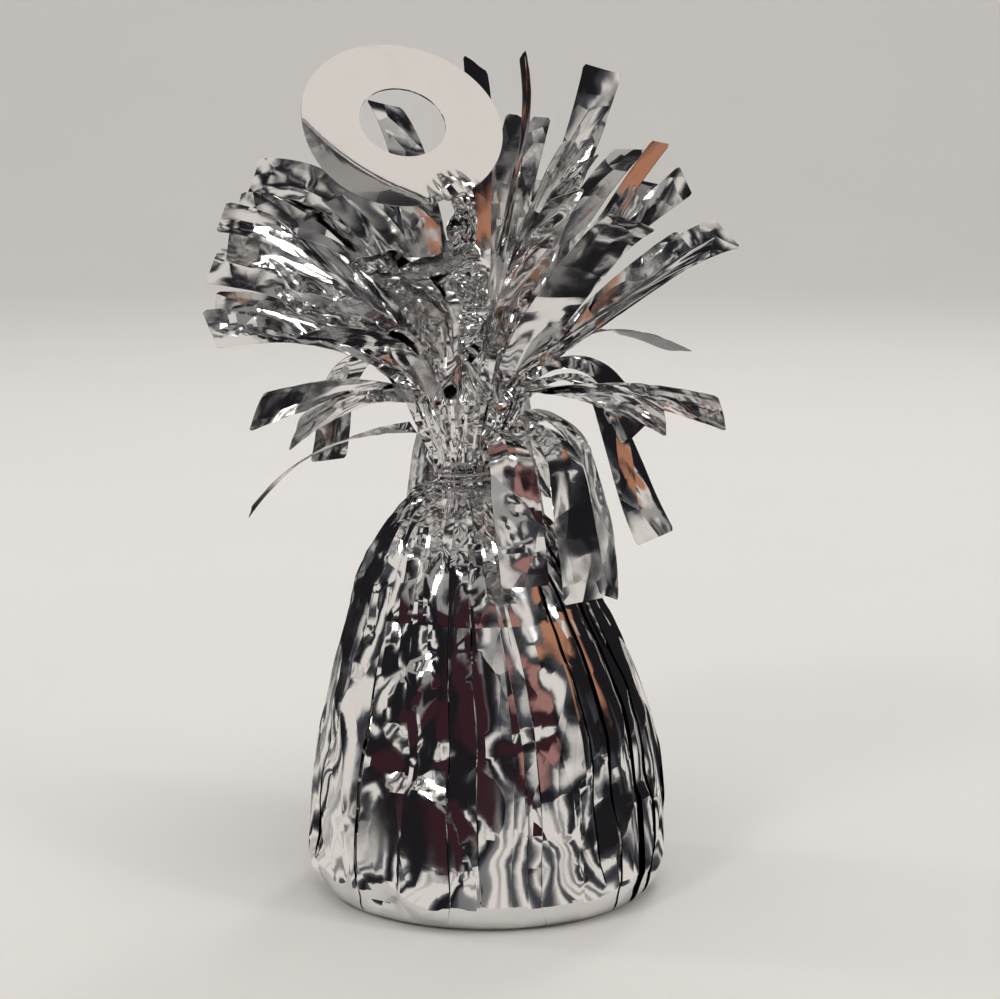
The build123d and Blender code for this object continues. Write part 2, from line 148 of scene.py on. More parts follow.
@dataclass(frozen=True)
class Crumple:
    """Sharp straight creases scattered over a piece of film, as ridges and furrows of limited length.

    Attributes:
        seed: Start of the random draw.
        count: Number of creases.
        low: Lowest corner of the stretch that they lie in, in millimetres.
        high: Highest corner of that stretch.
        length: Least and greatest half length.
        width: Least and greatest half width.
        height: Greatest height or depth.
        heading: Middle direction of the creases in degrees from the first axis.
        spread: How far a crease may turn from that direction, in degrees.
    """

    seed: int
    count: int
    low: Pair
    high: Pair
    length: Pair
    width: Pair
    height: float
    heading: float
    spread: float

    def at(self, x: np.ndarray, y: np.ndarray) -> np.ndarray:
        """Height of the creased film.

        Args:
            x: Places along the first axis in millimetres.
            y: Places along the second axis.

        Returns:
            Height at each place in millimetres.
        """
        rng = np.random.default_rng(self.seed)
        total = np.zeros_like(x)
        for _ in range(self.count):
            middle = rng.uniform(self.low, self.high)
            turn = math.radians(self.heading + rng.uniform(-self.spread, self.spread))
            half_length = rng.uniform(*self.length)
            half_width = rng.uniform(*self.width)
            height = self.height * rng.uniform(0.35, 1.0) * rng.choice((-1.0, 1.0))
            dx, dy = x - middle[0], y - middle[1]
            along = np.abs(dx * math.cos(turn) + dy * math.sin(turn)) / half_length
            beside = np.abs(dy * math.cos(turn) - dx * math.sin(turn)) / half_width
            total += height * np.clip(1 - beside, 0, 1) * np.clip(2 - 2 * along, 0, 1)
        return total


@dataclass(frozen=True)
class Facets:
    """A crumpled patch of flat facets with straight ridges and furrows, which fades out at its rim.

    Attributes:
        seed: Start of the random draw.
        count: Number of facets.
        middle: Its middle in millimetres.
        reach: Its radius.
        slope: Greatest slope of a facet.
        limit: Greatest height or depth.
    """

    seed: int
    count: int
    middle: Pair
    reach: float
    slope: float
    limit: float = 2.0

    def at(self, x: np.ndarray, y: np.ndarray) -> np.ndarray:
        """Height of the patch.

        Args:
            x: Places along the first axis in millimetres.
            y: Places along the second axis.

        Returns:
            Height at each place in millimetres.
        """
        rng = np.random.default_rng(self.seed)
        dx, dy = x - self.middle[0], y - self.middle[1]
        inner = 0.6 * self.reach
        planes = []
        for _ in range(self.count):
            start = rng.uniform(-inner, inner, 2)
            lean = rng.uniform(-self.slope, self.slope, 2)
            planes.append((dx - start[0]) * lean[0] + (dy - start[1]) * lean[1])
        half = self.count // 2
        height = np.min(planes[:half], axis=0) + np.max(planes[half:], axis=0)
        return np.clip(height, -self.limit, self.limit) * np.clip(2 - 2 * np.hypot(dx, dy) / self.reach, 0, 1)


class ShaderTree:
    """Small helper that adds nodes to a material, group or world and links them."""

    def __init__(self, tree: bpy.types.NodeTree) -> None:
        """Keeps the tree that nodes are added to."""
        self.tree = tree

    @classmethod
    def of(cls, owner: bpy.types.Material | bpy.types.World) -> "ShaderTree":
        """Starts the nodes of a material or world afresh."""
        owner.use_nodes = True
        owner.node_tree.nodes.clear()
        return cls(owner.node_tree)

    def add(self, kind: str, feeds: dict | None = None, **settings: object) -> bpy.types.Node:
        """Adds a node.

        Args:
            kind: Blender's node type.
            feeds: Input name or number to the socket that feeds it, or to its value.
            settings: Properties of the node.

        Returns:
            The new node.
        """
        node = self.tree.nodes.new(kind)
        for name, value in settings.items():
            setattr(node, name, value)
        for name, feed in (feeds or {}).items():
            if isinstance(feed, bpy.types.NodeSocket):
                self.tree.links.new(feed, node.inputs[name])
            else:
                node.inputs[name].default_value = feed
        return node

    def place(self) -> bpy.types.NodeSocket:
        """Adds the Object coordinates."""
        return self.add("ShaderNodeTexCoord").outputs["Object"]

    def math(self, operation: str, *feeds: object) -> bpy.types.NodeSocket:
        """Adds a sum on values and gives its result."""
        return self.add("ShaderNodeMath", dict(enumerate(feeds)), operation=operation).outputs[0]

    def vector(self, operation: str, *feeds: object, **named: object) -> bpy.types.NodeSocket:
        """Adds a sum on vectors and gives the vector that comes out."""
        return self.add("ShaderNodeVectorMath", {**dict(enumerate(feeds)), **named}, operation=operation).outputs[0]

    def mix(self, share: bpy.types.NodeSocket, start: object, end: object) -> bpy.types.NodeSocket:
        """Mixes two colours, each a socket or its three values.

        Args:
            share: Share of the second colour.
            start: The first colour.
            end: The second colour.

        Returns:
            The mixed colour.
        """
        first, second = (tone if isinstance(tone, bpy.types.NodeSocket) else (*tone, 1.0) for tone in (start, end))
        return self.add("ShaderNodeMix", {0: share, 6: first, 7: second}, data_type="RGBA").outputs[2]

    def steps(self, value: bpy.types.NodeSocket, low: float, high: float) -> bpy.types.NodeSocket:
        """Turns a value into a mask that is 0 at one limit, 1 at the other and smooth between them."""
        feeds = {"Value": value, "From Min": low, "From Max": high}
        return self.add("ShaderNodeMapRange", feeds, interpolation_type="SMOOTHSTEP").outputs["Result"]

    def surface(self, shader: bpy.types.Node) -> None:
        """Ends a material with its shader."""
        self.add("ShaderNodeOutputMaterial", {"Surface": shader.outputs[0]})


class SharedEffects:
    """Shader node groups that several finishes use."""

    def __init__(self) -> None:
        """Builds each group once."""
        self.crinkle = self._crinkle()
        self.facets = self._facets()
        self.haze = self._haze()
        self.mottle = self._mottle()

    @staticmethod
    def _group(
        name: str,
        inputs: dict[str, float],
        output: str,
        kind: str = "NodeSocketFloat",
        vectors: tuple[str, ...] = ("Vector",),
    ) -> tuple[ShaderTree, bpy.types.bpy_prop_collection]:
        """Starts a group with vector inputs, value inputs and one output.

        Args:
            name: Name of the group.
            inputs: Value inputs with their defaults.
            output: Name of the output.
            kind: Socket type of the output.
            vectors: Names of the vector inputs.

        Returns:
            The group's nodes, and the sockets of its inputs.
        """
        tree = bpy.data.node_groups.new(name, "ShaderNodeTree")
        for label in vectors:
            tree.interface.new_socket(label, in_out="INPUT", socket_type="NodeSocketVector")
        for label, value in inputs.items():
            socket = tree.interface.new_socket(label, in_out="INPUT", socket_type="NodeSocketFloat")
            socket.default_value = value
        tree.interface.new_socket(output, in_out="OUTPUT", socket_type=kind)
        nodes = ShaderTree(tree)
        return nodes, nodes.add("NodeGroupInput").outputs

    def _crinkle(self) -> bpy.types.NodeTree:
        """Fine crinkles of handled film: soft swells with sharp little creases between them."""
        nodes, given = self._group("film_crinkle", {"Scale": 300.0, "Sharp": 0.5}, "Height")
        feeds = {"Vector": given["Vector"], "Scale": given["Scale"]}
        wide = nodes.add("ShaderNodeTexNoise", {**feeds, "Detail": 2.0})
        creases = nodes.add("ShaderNodeTexVoronoi", feeds, feature="DISTANCE_TO_EDGE")
        sharp = nodes.math("MULTIPLY", creases.outputs["Distance"], given["Sharp"])
        nodes.add("NodeGroupOutput", {"Height": nodes.math("ADD", wide.outputs["Fac"], sharp)})
        return nodes.tree

    def _facets(self) -> bpy.types.NodeTree:
        """Flat facets of crumpled film: each cell tilts a given normal its own way."""
        nodes, given = self._group(
            "film_facets",
            {"Scale": 100.0, "Stretch": 1.0, "Tilt": 0.2},
            "Normal",
            "NodeSocketVector",
            ("Vector", "Base"),
        )
        squash = nodes.add("ShaderNodeCombineXYZ", {"X": 1.0, "Y": 1.0, "Z": given["Stretch"]})
        place = nodes.vector("MULTIPLY", given["Vector"], squash.outputs[0])
        waves = nodes.add("ShaderNodeTexNoise", {"Vector": given["Vector"], "Scale": 45.0})
        sway = nodes.vector("SCALE", waves.outputs["Color"], Scale=0.006)
        slant = nodes.vector("ADD", place, sway)
        cells = nodes.add("ShaderNodeTexVoronoi", {"Vector": slant, "Scale": given["Scale"]})
        lean = nodes.vector("SUBTRACT", cells.outputs["Color"], (0.5, 0.5, 0.5))
        tilt = nodes.vector("SCALE", lean, Scale=given["Tilt"])
        total = nodes.vector("ADD", given["Base"], tilt)
        nodes.add("NodeGroupOutput", {"Normal": nodes.vector("NORMALIZE", total)})
        return nodes.tree

    def _haze(self) -> bpy.types.NodeTree:
        """Roughness of a shiny face with hazy rubbed patches."""
        nodes, given = self._group("rubbed_haze", {"Scale": 60.0, "Clear": 0.05, "Rubbed": 0.2}, "Roughness")
        patches = nodes.add(
            "ShaderNodeTexNoise",
            {"Vector": given["Vector"], "Scale": given["Scale"], "Detail": 6.0, "Roughness": 0.65},
        )
        amount = nodes.steps(patches.outputs["Fac"], 0.48, 0.74)
        span = nodes.math("SUBTRACT", given["Rubbed"], given["Clear"])
        nodes.add("NodeGroupOutput", {"Roughness": nodes.math("MULTIPLY_ADD", amount, span, given["Clear"])})
        return nodes.tree

    def _mottle(self) -> bpy.types.NodeTree:
        """Soft uneven mask for small changes of colour."""
        nodes, given = self._group("soft_mottle", {"Scale": 40.0}, "Mask")
        noise = nodes.add(
            "ShaderNodeTexNoise", {"Vector": given["Vector"], "Scale": given["Scale"], "Detail": 4.0}
        )
        nodes.add("NodeGroupOutput", {"Mask": noise.outputs["Fac"]})
        return nodes.tree


@dataclass(frozen=True)
class Finish:
    """One surface finish, as the values of its material.

    Attributes:
        name: Name of the material.
        light: Colour of the lighter patches.
        dark: Colour of the darker patches.
        clear: Roughness of the clean surface.
        rubbed: Roughness of rubbed patches.
        haze_scale: Size of those patches, as a noise scale per metre.
        crinkle_scale: Size of the crinkles, as a noise scale per metre.
        sharp: Share of sharp creases in the crinkle.
        relief: Height of the crinkles in metres.
        metal: Metallic value.
        facets: Scale per metre, upright stretch and tilt of each layer of facets.
    """

    name: str
    light: Triple
    dark: Triple
    clear: float
    rubbed: float
    haze_scale: float
    crinkle_scale: float
    sharp: float
    relief: float
    metal: float = 1.0
    facets: tuple[Triple, ...] = ()

    def material(self, effects: SharedEffects) -> bpy.types.Material:
        """Builds the material.

        Args:
            effects: The shared node groups.

        Returns:
            The new material.
        """
        made = bpy.data.materials.new(self.name)
        nodes = ShaderTree.of(made)
        place = nodes.place()

        def shared(group: bpy.types.NodeTree, **feeds: object) -> bpy.types.NodeSocket:
            """Adds a shared group with its own values and gives its output."""
            return nodes.add("ShaderNodeGroup", {"Vector": place, **feeds}, node_tree=group).outputs[0]

        crinkle = shared(effects.crinkle, Scale=self.crinkle_scale, Sharp=self.sharp)
        haze = shared(effects.haze, Scale=self.haze_scale, Clear=self.clear, Rubbed=self.rubbed)
        colour = nodes.mix(shared(effects.mottle, Scale=self.haze_scale), self.dark, self.light)
        normal = nodes.add("ShaderNodeNewGeometry").outputs["Normal"]
        for scale, stretch, tilt in self.facets:
            normal = shared(effects.facets, Scale=scale, Stretch=stretch, Tilt=tilt, Base=normal)
        bump = nodes.add(
            "ShaderNodeBump", {"Height": crinkle, "Normal": normal, "Strength": 1.0, "Distance": self.relief}
        )
        nodes.surface(nodes.add("ShaderNodeBsdfPrincipled", {
            "Base Color": colour,
            "Roughness": haze,
            "Normal": bump.outputs["Normal"],
            "Metallic": self.metal,
        }))
        return made


FOIL = Finish(
    "silver_film", light=(0.93, 0.925, 0.915), dark=(0.85, 0.855, 0.86), clear=0.06, rubbed=0.18,
    haze_scale=70.0, crinkle_scale=260.0, sharp=0.5, relief=0.000025,
    facets=((80.0, 0.2, 0.26), (220.0, 0.3, 0.05)),
)
FRINGE_FILM = Finish(
    "fringe_film", light=(0.92, 0.915, 0.905), dark=(0.80, 0.805, 0.81), clear=0.07, rubbed=0.24,
    haze_scale=110.0, crinkle_scale=300.0, sharp=0.6, relief=0.000015,
    facets=((55.0, 1.0, 0.30), (160.0, 1.0, 0.05)),
)
TAB_FILM = Finish(
    "tab_film", light=(0.93, 0.915, 0.895), dark=(0.87, 0.86, 0.845), clear=0.12, rubbed=0.28,
    haze_scale=90.0, crinkle_scale=140.0, sharp=0.1, relief=0.00002,
    facets=((80.0, 1.0, 0.02),),
)
TIE_STEEL = Finish(
    "tie_steel", light=(0.86, 0.855, 0.85), dark=(0.7, 0.7, 0.71), clear=0.16, rubbed=0.3,
    haze_scale=400.0, crinkle_scale=900.0, sharp=0.4, relief=0.00004,
    facets=((700.0, 1.0, 0.9), (1500.0, 1.0, 0.4)),
)
CUP_PLASTIC = Finish(
    "cup_plastic", light=(0.84, 0.84, 0.82), dark=(0.78, 0.78, 0.76), clear=0.4, rubbed=0.55,
    haze_scale=80.0, crinkle_scale=500.0, sharp=0.1, relief=0.00002, metal=0.0,
)
CAST_PLASTER = Finish(
    "cast_plaster", light=(0.66, 0.64, 0.6), dark=(0.52, 0.5, 0.47), clear=0.75, rubbed=0.95,
    haze_scale=120.0, crinkle_scale=400.0, sharp=0.4, relief=0.0001, metal=0.0,
)
GREY_CARD = Finish(
    "grey_card", light=(0.72, 0.68, 0.6), dark=(0.64, 0.6, 0.53), clear=0.8, rubbed=0.95,
    haze_scale=200.0, crinkle_scale=1500.0, sharp=0.1, relief=0.00003, metal=0.0,
)
KEPT_SHAPES: dict[str, Finish] = {
    "neck_tie": TIE_STEEL,
    "ballast_cup": CUP_PLASTIC,
    "ballast_plug": CAST_PLASTER,
    "base_disc": GREY_CARD,
    "tab_tail": FOIL,
}


class Palette:
    """Builds the material of each finish once and keeps it."""

    def __init__(self) -> None:
        """Starts with the shared node groups and no material."""
        self.effects = SharedEffects()
        self.made: dict[str, bpy.types.Material] = {}

    def of(self, finish: Finish) -> bpy.types.Material:
        """Gives a finish's material, which is built the first time."""
        if finish.name not in self.made:
            self.made[finish.name] = finish.material(self.effects)
        return self.made[finish.name]

    def dress_kept_shapes(self) -> None:
        """Gives the CAD pieces that keep their shape their materials: tie, cup, cast weight, disc and tail."""
        for node, finish in KEPT_SHAPES.items():
            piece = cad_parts[node]
            if isinstance(piece, str):
                piece = bpy.data.objects[piece]
            piece.data.materials.clear()
            piece.data.materials.append(self.of(finish))
            LOG.info("dressed %s", node)


@dataclass
class FilmPiece:
    """A piece of thin film that starts as a flat grid and is shaped point by point.

    Attributes:
        name: Name of the piece.
        columns: Grid cells across.
        rows: Grid cells along.
        thickness: Thickness of the film in metres.
    """

    name: str
    columns: int
    rows: int
    thickness: float = 0.00009

    def flat(self) -> tuple[Piece, np.ndarray, np.ndarray]:
        """Adds the flat grid, with each point's place across and along."""
        return add_grid(self.name, self.columns, self.rows)

    def finish(
        self,
        piece: Piece,
        points: np.ndarray,
        crease_angle: float,
        film: bpy.types.Material,
        seam: bool = False,
        offset: float = 0.0,
    ) -> None:
        """Moves the grid's points into shape, and gives the film its thickness, shading and material.

        Args:
            piece: The grid's object.
            points: The new places in millimetres.
            crease_angle: Angle in degrees above which an edge stays sharp.
            film: The material.
            seam: Whether the grid's edges meet and are merged.
            offset: Side that the thickness goes to, from -1 for inward to 1 for outward.
        """
        write_points(piece, points * MM)
        if seam:
            merge_seam(piece, reach=1e-6, outward=True)
        make_active(piece)
        thicken = piece.modifiers.new("Solidify", "SOLIDIFY")
        thicken.thickness = self.thickness
        thicken.offset = offset
        thicken.use_even_offset = False
        bpy.ops.object.modifier_apply(modifier=thicken.name)
        bpy.ops.object.shade_smooth_by_angle(angle=math.radians(crease_angle))
        deselect()
        piece.data.materials.append(film)


BELL_CREASES: tuple[Crumple | Facets, ...] = (
    Crumple(11, 60, (-94.0, 4.0), (94.0, 44.0), (8.0, 24.0), (2.0, 5.0), 0.5, 90.0, 14.0),
    Crumple(15, 22, (-94.0, 4.0), (94.0, 44.0), (3.0, 8.0), (2.0, 4.5), 0.5, 20.0, 70.0),
    Crumple(12, 130, (-94.0, 42.0), (94.0, 64.0), (3.5, 11.0), (1.2, 3.0), 0.6, 90.0, 24.0),
    Crumple(13, 220, (-94.0, 60.0), (94.0, 82.0), (2.0, 7.0), (1.5, 5.0), 1.0, 90.0, 24.0),
    Facets(14, 10, (-15.0, 12.0), 13.0, 0.4),
    Facets(16, 8, (-11.0, 32.0), 11.0, 0.22),
    Facets(17, 8, (8.0, 24.0), 12.0, 0.2),
    Facets(18, 8, (27.0, 16.0), 12.0, 0.24),
    Facets(19, 8, (-32.0, 26.0), 12.0, 0.2),
    Facets(20, 8, (58.0, 22.0), 14.0, 0.25),
    Facets(21, 8, (-62.0, 18.0), 14.0, 0.25),
    Facets(22, 8, (86.0, 26.0), 14.0, 0.25),
)


@dataclass
class Bell:
    """The film bell over the cup: foot, belly, shoulder, pinched neck, collar and crown, in millimetres.

    The folds are given in degrees from the front. Each has an overlap, a depth, a height where it starts, and a
    line that wanders between knots. The faces between folds bulge by a little at the same knots.
    """

    foot_radius: float = 30.0
    foot_reach: float = 4.8
    foot_height: float = 8.0
    shoulder_radius: float = 21.2
    shoulder_share: float = 0.692
    belly_power: float = 2.6
    shoulder_power: float = 1.2
    shoulder_roundness: float = 0.62
    neck_radius: float = 4.6
    neck_height: float = 69.4
    neck_lean: float = -3.9
    lean_start: float = 30.0
    tie_height: float = 2.5
    collar_radius: float = 10.0
    collar_rise: float = 12.6
    crown_radius: float = 1.6
    crown_rise: float = 6.4
    flat_diameter: float = 222.0
    row_step: float = 0.95
    front_folds: tuple[float, ...] = (
        -74, -63, -56, -47, -40, -25, -14, -5, 4, 9, 16, 20, 28, 32, 41, 49, 61, 70,
    )
    back_folds: int = 17
    back_shift: float = 0.3
    face_cell: float = 0.85
    return_cells: int = 2
    overlap: Pair = (1.2, 2.6)
    depth: Pair = (0.8, 2.3)
    fade: Pair = (0.5, 5.0)
    short_share: float = 0.2
    short_fade: Pair = (16.0, 40.0)
    wander: float = 0.8
    bulge: float = 0.3
    knots: int = 5
    knot_step: float = 22.0
    open_share: float = 0.3
    open_height: float = 4.0
    pinch_radius: float = 12.0
    pinch_least: float = 0.22
    puff_offset: float = 2.6
    puff_reach: float = 1.9
    dive_power: float = 3.0
    highest: float = 0.35
    crease_angle: float = 16.0
    seed: int = 7
    profile: np.ndarray = field(init=False)

    def __post_init__(self) -> None:
        """Draws the half outline of the bell from the middle of the foot to the top of the crown."""
        self.profile = np.array(self._outline())

    @property
    def collar_height(self) -> float:
        """Height of the collar's rim."""
        return self.neck_height + self.collar_rise

    def _outline(self) -> list[Pair]:
        """Lists the radius and height of each row of the film.

        Returns:
            Points from the middle of the foot to the top of the crown.
        """
        flat = self.foot_radius - self.foot_reach
        shoulder = self.neck_height * self.shoulder_share
        rows = [(flat * share, 0.0) for share in (0.0, 0.2, 0.4, 0.6, 0.8, 0.93)]
        for angle in np.linspace(0, math.pi / 2, 9)[:-1]:
            rows.append((flat + self.foot_reach * math.sin(angle), self.foot_height * (1 - math.cos(angle))))
        for height in np.arange(self.foot_height, shoulder, self.row_step):
            drawn_in = (height / shoulder) ** self.belly_power
            rows.append((self.foot_radius - (self.foot_radius - self.shoulder_radius) * drawn_in, height))
        neck_foot, neck_top = (self.neck_height + side * self.tie_height / 2 for side in (-1, 1))
        for share in 1 - np.linspace(1, 0, 30) ** 1.3:
            drawn_in = (1 - share**self.shoulder_power) ** self.shoulder_roundness
            radius = self.neck_radius + (self.shoulder_radius - self.neck_radius) * drawn_in
            rows.append((radius, shoulder + (neck_foot - shoulder) * share))
        rows += [(self.neck_radius, self.neck_height), (self.neck_radius, neck_top)]
        for share in np.linspace(0, 1, 15)[1:]:
            rows.append((
                self.neck_radius + (self.collar_radius - self.neck_radius) * share,
                neck_top + (self.collar_height - neck_top) * share,
            ))
        for share in (0.3, 0.6, 1.0):
            rows.append((
                self.collar_radius + (self.crown_radius - self.collar_radius) * share,
                self.collar_height + self.crown_rise * share,
            ))
        rows.append((0.0, self.collar_height + self.crown_rise))
        return rows

    def _folds(self) -> np.ndarray:
        """Places the folds round the bell.

        Returns:
            Angle of each fold in radians, rising, with the front ones where the photograph shows them.
        """
        rng = np.random.default_rng(self.seed)
        front = [-90.0 + angle for angle in self.front_folds]
        start, end = front[-1], front[0] + 360.0
        step = (end - start) / (self.back_folds + 1)
        back = [
            start + step * (place + 1 + rng.uniform(-self.back_shift, self.back_shift))
            for place in range(self.back_folds)
        ]
        return np.radians(front + back)

    def build(self, palette: Palette) -> Piece:
        """Makes the pleated and crumpled film.

        Args:
            palette: Materials of the finishes.

        Returns:
            The finished piece.
        """
        folds = self._folds()
        count = len(folds)
        widths = np.diff(np.append(folds, folds[0] + FULL_TURN))
        cells = np.maximum(3, np.rint(widths * self.foot_radius / self.face_cell).astype(int))
        starts = np.concatenate([[0], np.cumsum(cells + self.return_cells)])
        film = FilmPiece("foil_wrap_film", int(starts[-1]), len(self.profile) - 1, thickness=0.00008)
        piece, across, along = film.flat()
        column = np.rint(across * film.columns).astype(int) % film.columns
        radius, height = self.profile[np.rint(along * film.rows).astype(int)].T
        face = np.searchsorted(starts, column, side="right") - 1
        place = column - starts[face]
        rng = np.random.default_rng(self.seed + 1)
        over = rng.choice((-1.0, 1.0), count)
        overlap = rng.uniform(*self.overlap, count)
        depth = rng.uniform(*self.depth, count)
        fade = rng.uniform(*self.fade, count)
        short = rng.random(count) < self.short_share
        fade[short] = rng.uniform(*self.short_fade, int(short.sum()))
        wander = rng.uniform(-self.wander, self.wander, (count, self.knots))
        bulge = rng.uniform(-self.bulge, self.bulge, (count, self.knots))
        knot = np.clip(height / self.knot_step, 0, self.knots - 1.001)
        low = knot.astype(int)
        part = knot - low
        pinch = np.clip(radius / self.pinch_radius, self.pinch_least, 1)

        def at_height(values: np.ndarray, fold: np.ndarray) -> np.ndarray:
            """Value of a fold at each point's height, from its values at the knots."""
            return values[fold, low] * (1 - part) + values[fold, low + 1] * part

        def edge(fold: np.ndarray, side: int) -> tuple[np.ndarray, np.ndarray]:
            """Angle and sink of a face's edge at a fold, where side is -1 for its start and 1 for its end."""
            ease = ramp(height - self.open_share * fade[fold], self.open_height) * pinch
            line = folds[fold] + at_height(wander, fold) / self.foot_radius
            sink = np.where(over[fold] * side < 0, depth[fold], 0.0) * ease
            return line + side * overlap[fold] * ease / np.maximum(radius, 1.0), sink

        after = (face + 1) % count
        lap = np.where(face + 1 >= count, FULL_TURN, 0.0)
        first_angle, first_sink = edge(face, -1)
        last_angle, last_sink = edge(after, 1)
        next_angle, next_sink = edge(after, -1)
        on_face = place <= cells[face]
        share = np.where(on_face, place / cells[face], (place - cells[face]) / self.return_cells)
        angle = np.where(
            on_face,
            first_angle + (last_angle + lap - first_angle) * share,
            last_angle + lap + (next_angle - last_angle) * share,
        )
        sink = np.where(
            on_face,
            first_sink * (1 - share) ** self.dive_power + last_sink * share**self.dive_power,
            last_sink + (next_sink - last_sink) * share,
        )
        swell = at_height(bulge, face) * np.where(on_face, np.sin(math.pi * share), 0.0)
        swell *= ramp(radius, 20.0) * ramp(height, 12.0)
        arc = np.radians((np.degrees(angle) + 90.0 + 180.0) % 360.0 - 180.0) * self.foot_radius
        dents = sum(crease.at(arc, height) for crease in BELL_CREASES)
        dents *= ramp(height, 4.0) * np.clip(radius / 9.0, 0.3, 1)
        off_tie = np.abs(height - self.neck_height)
        puff = np.clip(1 - np.abs(off_tie - self.puff_offset) / self.puff_reach, 0, 1)
        puff *= 0.75 + 0.45 * np.sin(5 * angle) * np.cos(2 * angle)
        final = radius - sink + np.minimum(swell + dents - 0.25 * ramp(height, 8.0), self.highest) + puff
        final = np.where(radius < 0.01, 0.0, np.maximum(final, 0.15 * radius))
        points = around_axis(final, angle, height)
        points[:, 0] += self.neck_lean * ramp(height - self.lean_start, self.neck_height - self.lean_start)
        film.finish(piece, points, self.crease_angle, palette.of(FOIL), seam=True, offset=-1.0)
        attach(piece, "weight")
        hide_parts("foil_wrap")
        return piece


@dataclass(frozen=True)
class Strip:
    """A fringe strip as the CAD draws it: seat, lift, droop, yaw, roll and twist in degrees.

    Bend and length are shares of the fringe's length, and a bend of 0 spreads the droop over the strip.
    """

    tier: Tier
    seat: float
    lift: float
    droop: float
    bend: float
    length: float
    yaw: float
    roll: float
    twist: float


STRIPS: dict[Tier, tuple[Strip, ...]] = {
    tier: tuple(Strip(tier, *row) for row in rows)
    for tier, rows in {
        Tier.LOW: (
            (332, 10, 88, 0.16, 0.70, -12, 0, 20),
            (26, 14, 88, 0.18, 0.82, 0, 0, 0),
            (64, 8, 78, 0.14, 0.56, 0, 0, 10),
            (101, 10, 78, 0.16, 0.84, -6, 0, 0),
            (202, 2, 50, 0.00, 0.64, 4, 10, 20),
            (298, 8, 78, 0.16, 0.62, -8, 0, 0),
        ),
        Tier.OUTER: (
            (355, 34, 104, 0.16, 0.78, -8, 0, 40),
            (21, 44, 18, 0.00, 0.90, -4, 4, 36),
            (47, 38, 76, 0.00, 0.88, -4, 0, 0),
            (77, 34, 96, 0.28, 0.92, 0, 0, 0),
            (103, 28, 40, 0.00, 0.80, 0, 0, -14),
            (131, 42, 128, 0.26, 0.78, 4, 0, 0),
            (158, 54, 54, 0.00, 0.82, 4, 0, -44),
            (190, 46, 60, 0.00, 0.70, 8, 0, -48),
            (218, 10, 24, 0.00, 0.68, 6, 20, 34),
            (244, 46, 40, 0.00, 0.72, -4, 0, 20),
            (303, 50, 14, 0.00, 0.88, 8, -10, -16),
            (329, 8, 20, 0.00, 0.76, -2, -4, -46),
        ),
        Tier.LAP: (
            (37, 53, 18, 0.00, 0.90, 2, 0, 10),
            (5, 62, 8, 0.00, 0.92, 8, 0, 6),
            (326, 38, 8, 0.00, 0.84, 9, 0, 24),
            (68, 50, 20, 0.00, 0.90, 0, 0, 0),
            (98, 46, 40, 0.00, 0.86, 0, 0, 0),
            (129, 44, 30, 0.00, 0.84, -4, 0, 0),
        ),
        Tier.MIDDLE: (
            (12, 73, 4, 0.00, 1.04, 0, 0, 40),
            (45, 58, 16, 0.00, 0.96, -4, 0, 0),
            (78, 64, 6, 0.00, 0.96, -12, 0, 10),
            (112, 52, 28, 0.00, 0.92, 0, 0, -12),
            (145, 60, 14, 0.00, 0.76, -4, 0, 20),
            (180, 63, 50, 0.00, 0.86, 0, 0, -36),
            (212, 56, 52, 0.00, 0.68, 2, 0, -30),
            (246, 68, 66, 0.00, 0.68, 0, 0, 20),
            (306, 65, 12, 0.00, 0.84, 6, 0, 16),
            (340, 54, 14, 0.00, 0.88, 2, 0, 44),
        ),
        Tier.INNER: (
            (42, 75, 4, 0.00, 1.02, 10, -36, -10),
            (87, 71, 4, 0.00, 1.04, -8, 40, 30),
            (132, 68, 8, 0.00, 0.96, -16, 0, 20),
            (175, 80, 80, 0.00, 1.00, -4, -14, -50),
            (336, 70, 10, 0.00, 0.92, 0, 0, 0),
            (220, 78, 8, 0.00, 0.36, 6, 10, 0),
        ),
    }.items()
}


@dataclass(frozen=True)
class Layer:
    """A second film layer that lies with a strip: its turns in degrees and its share of the strip's length."""

    yaw: float
    lift: float
    length: float
    crumple: float = 1.0


LAYERS: dict[str, Layer] = {
    "low_strip_2": Layer(10, 4, 0.86),
    "low_strip_3": Layer(-12, 8, 0.9),
    "low_strip_4": Layer(12, 4, 0.82),
    "outer_strip_1": Layer(12, 16, 0.66),
    "outer_strip_2": Layer(-5, 3, 0.82),
    "outer_strip_5": Layer(-11, 6, 0.9),
    "outer_strip_7": Layer(10, -8, 0.88, 1.6),
    "outer_strip_8": Layer(-10, 6, 0.9, 1.6),
    "outer_strip_9": Layer(4, -7, 0.84),
    "outer_strip_10": Layer(-5, -6, 0.92, 2.0),
    "outer_strip_12": Layer(7, -5, 0.7, 1.6),
    "middle_strip_3": Layer(8, -5, 0.92),
    "middle_strip_5": Layer(10, -6, 1.0),
    "middle_strip_6": Layer(5, -6, 0.9, 1.4),
    "middle_strip_7": Layer(8, -6, 0.96, 2.2),
    "middle_strip_8": Layer(13, 4, 0.96, 2.2),
    "middle_strip_9": Layer(-10, -5, 0.9, 1.8),
    "middle_strip_10": Layer(-6, 5, 0.86, 1.2),
    "inner_strip_3": Layer(12, -4, 0.8),
    "inner_strip_4": Layer(8, -7, 0.9),
    "inner_strip_5": Layer(6, 4, 0.84, 1.2),
}
